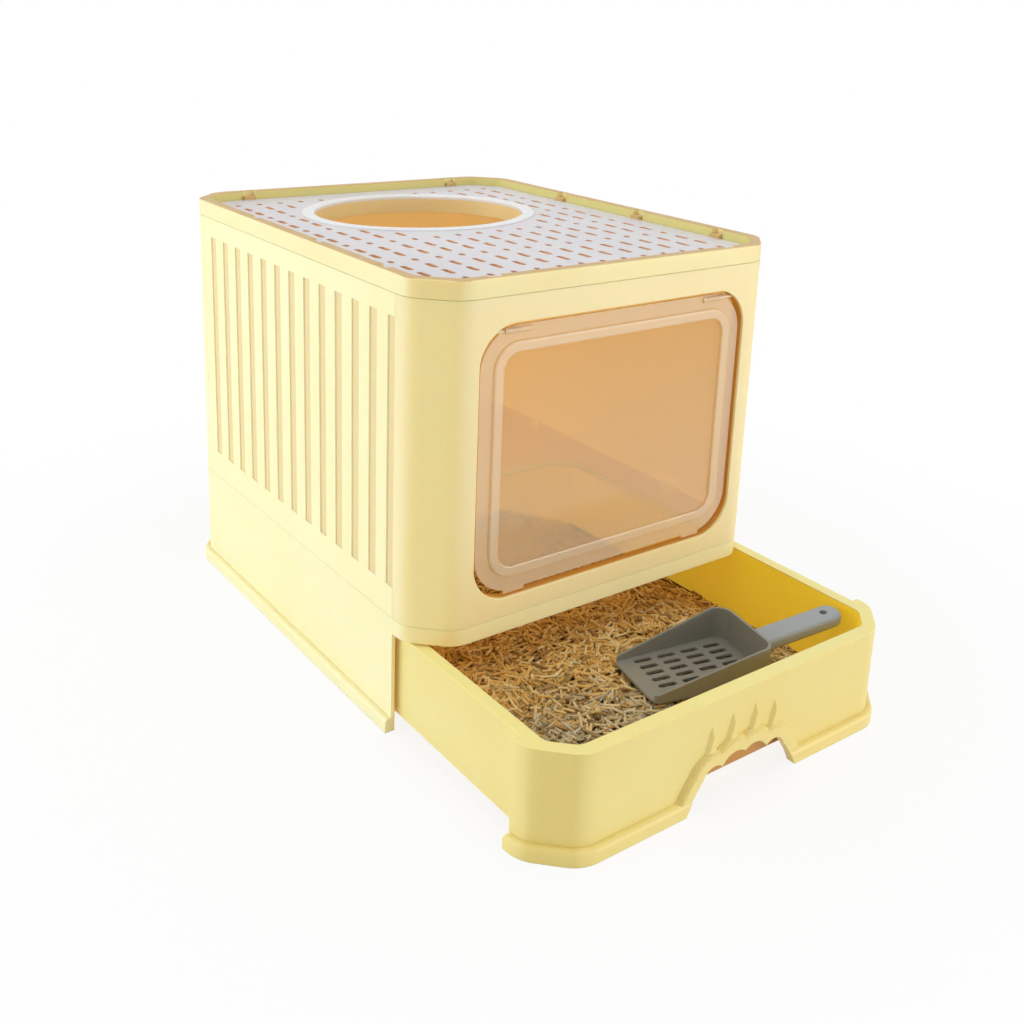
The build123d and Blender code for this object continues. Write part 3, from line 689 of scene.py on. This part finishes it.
def draw_pellet(random, layer, low, high):
    """Chance values of one pellet: x, y, length, turn, lean, lift, tint and fade."""
    return (
        random.uniform(low.x, high.x),
        random.uniform(low.y, high.y),
        random.uniform(*pellet_lengths),
        random.uniform(0, math.pi),
        random.normal(0, pellet_leans[layer]),
        random.normal(0, pellet_scatter),
        random.uniform(0, 1),
        random.normal(0, pellet_fade),
    )


def lay_pellets():
    """Pellets in layers over the bed, clear of the tray's walls and of the scoop."""
    random = np.random.default_rng(pellet_seed)
    bed_top = surface_of("litter_bed")
    scoop = surface_of("scoop")
    low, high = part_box("litter_bed")
    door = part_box("front_panel")[0].y
    down = Vector((0, 0, -1))
    sky = high.z + sky_gap
    pellet_area = 2 * pellet_radius * sum(pellet_lengths) / 2
    layer_count = int((high.x - low.x) * (high.y - low.y) / pellet_area)
    found = []
    for layer in range(front_layers):
        for _ in range(layer_count):
            x, y, length, turn, lean, lift, tint, fade = draw_pellet(random, layer, low, high)
            if layer >= back_layers and y > door + top_layer_reach:
                continue
            along = Vector((
                math.cos(turn) * math.cos(lean),
                math.sin(turn) * math.cos(lean),
                math.sin(lean),
            ))
            reach = along * (length / 2 + pellet_wall_gap)
            middle = Vector((x, y, sky))
            hits = [bed_top.ray_cast(middle + reach * step, down)[0] for step in (-1, 0, 1)]
            if any(hit is None for hit in hits):
                continue
            centre = Vector((x, y, sum(hit.z for hit in hits) / 3))
            slope = (hits[2] - hits[0]).normalized()
            along = (slope + Vector((0, 0, math.sin(lean)))).normalized()
            centre.z += pellet_heights[layer] + lift
            if layer > 0:
                probes = [centre + along * (length / 2 * step) for step in scoop_probes]
                if any(scoop.find_nearest(probe, scoop_margin)[0] is not None for probe in probes):
                    continue
            drift = bleach_drift * noise.noise(Vector((x, y, bleach_level)) * bleach_scale)
            bleach = (door - bleach_start - y) / bleach_run + fade + drift
            shown = y < door + shown_reach
            found.append(Pellet(centre, along, length, tint, min(max(bleach, 0.0), 1.0), shown))
    return found


def pellet_mesh(name, pellets, finish):
    """One mesh of many short rods, each with its own tint."""
    turns = np.arange(pellet_sides) * 2 * math.pi / pellet_sides
    places = []
    faces = []
    for pellet in pellets:
        side = pellet.along.orthogonal().normalized()
        up = pellet.along.cross(side)
        start = len(places)
        for end in (-0.5, 0.5):
            middle = pellet.centre + pellet.along * (pellet.length * end)
            for turn in turns:
                places.append(middle + (side * math.cos(turn) + up * math.sin(turn)) * pellet_radius)
        for index in range(pellet_sides):
            first = start + index
            second = start + (index + 1) % pellet_sides
            faces.append((first, second, second + pellet_sides, first + pellet_sides))
        faces.append(tuple(start + index for index in reversed(range(pellet_sides))))
        faces.append(tuple(start + pellet_sides + index for index in range(pellet_sides)))
    mesh = bpy.data.meshes.new(name)
    mesh.from_pydata(places, [], faces)
    for label in ("tint", "bleach"):
        values = np.array([getattr(pellet, label) for pellet in pellets], np.float32)
        values = np.repeat(values, 2 * pellet_sides)
        mesh.attributes.new(label, "FLOAT", "POINT").data.foreach_set("value", values)
    mesh.materials.append(finish)
    mesh.shade_smooth()
    mesh.set_sharp_from_angle(angle=pellet_crease)
    made = bpy.data.objects.new(name, mesh)
    bpy.context.scene.collection.objects.link(made)
    return made


def fill_tray():
    """Loose litter in place of the plain bed."""
    base = litter_base()
    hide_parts("litter_bed")
    finish = pellet_material()
    pellets = lay_pellets()
    shown = pellet_mesh("litter_pellets_front", [p for p in pellets if p.shown], finish)
    roofed = pellet_mesh("litter_pellets_back", [p for p in pellets if not p.shown], finish)
    for piece in (base, shown, roofed):
        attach(piece, "drawer")


def seen_rays(tree):
    """1 for rays from the eye, straight or by gloss or glass, and 0 for the light's own bounces."""
    path = tree.nodes.new("ShaderNodeLightPath")
    value = path.outputs["Is Camera Ray"]
    for name in ("Is Glossy Ray", "Is Transmission Ray"):
        value = calc(tree, "MAXIMUM", value, path.outputs[name])
    return value


def make_floor():
    """Pale floor that keeps the shadow near the object and runs out into white."""
    bpy.ops.mesh.primitive_grid_add(x_subdivisions=2, y_subdivisions=2, size=floor_size)
    floor = bpy.context.object
    floor.name = "floor"
    made, tree, shader = new_material("floor_paper")
    shader.inputs["Base Color"].default_value = floor_colour
    shader.inputs["Roughness"].default_value = floor_roughness
    shader.inputs["Specular IOR Level"].default_value = floor_gloss
    place = tree.nodes.new("ShaderNodeTexCoord")
    away = tree.nodes.new("ShaderNodeVectorMath")
    away.operation = "LENGTH"
    tree.links.new(place.outputs["Object"], away.inputs[0])
    fade = map_range(tree, away.outputs["Value"], shadow_reach, (shadow_white, 1.0), smooth=True)
    shown = calc(tree, "MULTIPLY", fade, seen_rays(tree))
    white = tree.nodes.new("ShaderNodeEmission")
    white.inputs["Strength"].default_value = white_strength
    blend = mix_shaders(tree, shown, shader.outputs["BSDF"], white.outputs["Emission"])
    tree.links.new(blend, tree.nodes["Material Output"].inputs["Surface"])
    floor.data.materials.append(made)


def make_world():
    """Even studio light, seen as white."""
    world = bpy.data.worlds.new("studio")
    bpy.context.scene.world = world
    world.use_nodes = True
    tree = world.node_tree
    ground = tree.nodes["Background"]
    strength = map_range(tree, seen_rays(tree), (0.0, 1.0), (world_light, white_strength))
    tree.links.new(strength, ground.inputs["Strength"])
    ground.inputs["Color"].default_value = (1, 1, 1, 1)


def softbox(name, place, aim, width, height, power, colour):
    """Large rectangular lamp turned towards a point."""
    lamp = bpy.data.lights.new(name, "AREA")
    lamp.shape = "RECTANGLE"
    lamp.size = width
    lamp.size_y = height
    lamp.energy = power
    lamp.color = colour
    made = bpy.data.objects.new(name, lamp)
    made.location = place
    made.rotation_euler = (Vector(aim) - Vector(place)).to_track_quat("-Z", "Y").to_euler()
    bpy.context.scene.collection.objects.link(made)


def light_studio():
    """A cool softbox on the left, a warmer one in front and a weak one above."""
    middle = (cad_low + cad_high) / 2
    for name, place, width, height, power, colour in softboxes:
        softbox(name, place, middle, width, height, power, colour)


def make_camera():
    """Camera where the photograph was taken from."""
    forward = Vector((
        math.sin(camera_yaw) * math.cos(camera_pitch),
        math.cos(camera_yaw) * math.cos(camera_pitch),
        -math.sin(camera_pitch),
    ))
    right = Vector((math.cos(camera_yaw), -math.sin(camera_yaw), 0))
    up = right.cross(forward)
    rolled_right = right * math.cos(camera_roll) + up * math.sin(camera_roll)
    rolled_up = up * math.cos(camera_roll) - right * math.sin(camera_roll)
    turn = Matrix((rolled_right, rolled_up, -forward)).transposed()
    lens = bpy.data.cameras.new("camera")
    lens.sensor_width = sensor_width
    lens.lens = focal_pixels / image_pixels * sensor_width
    lens.shift_y = (principal_row - image_pixels / 2) / image_pixels
    camera = bpy.data.objects.new("camera", lens)
    camera.matrix_world = Matrix.Translation(camera_place) @ turn.to_4x4()
    bpy.context.scene.collection.objects.link(camera)
    bpy.context.scene.camera = camera


dress_nodes()
fill_tray()
make_floor()
make_world()
light_studio()
make_camera()
bpy.context.scene.view_settings.view_transform = "Standard"
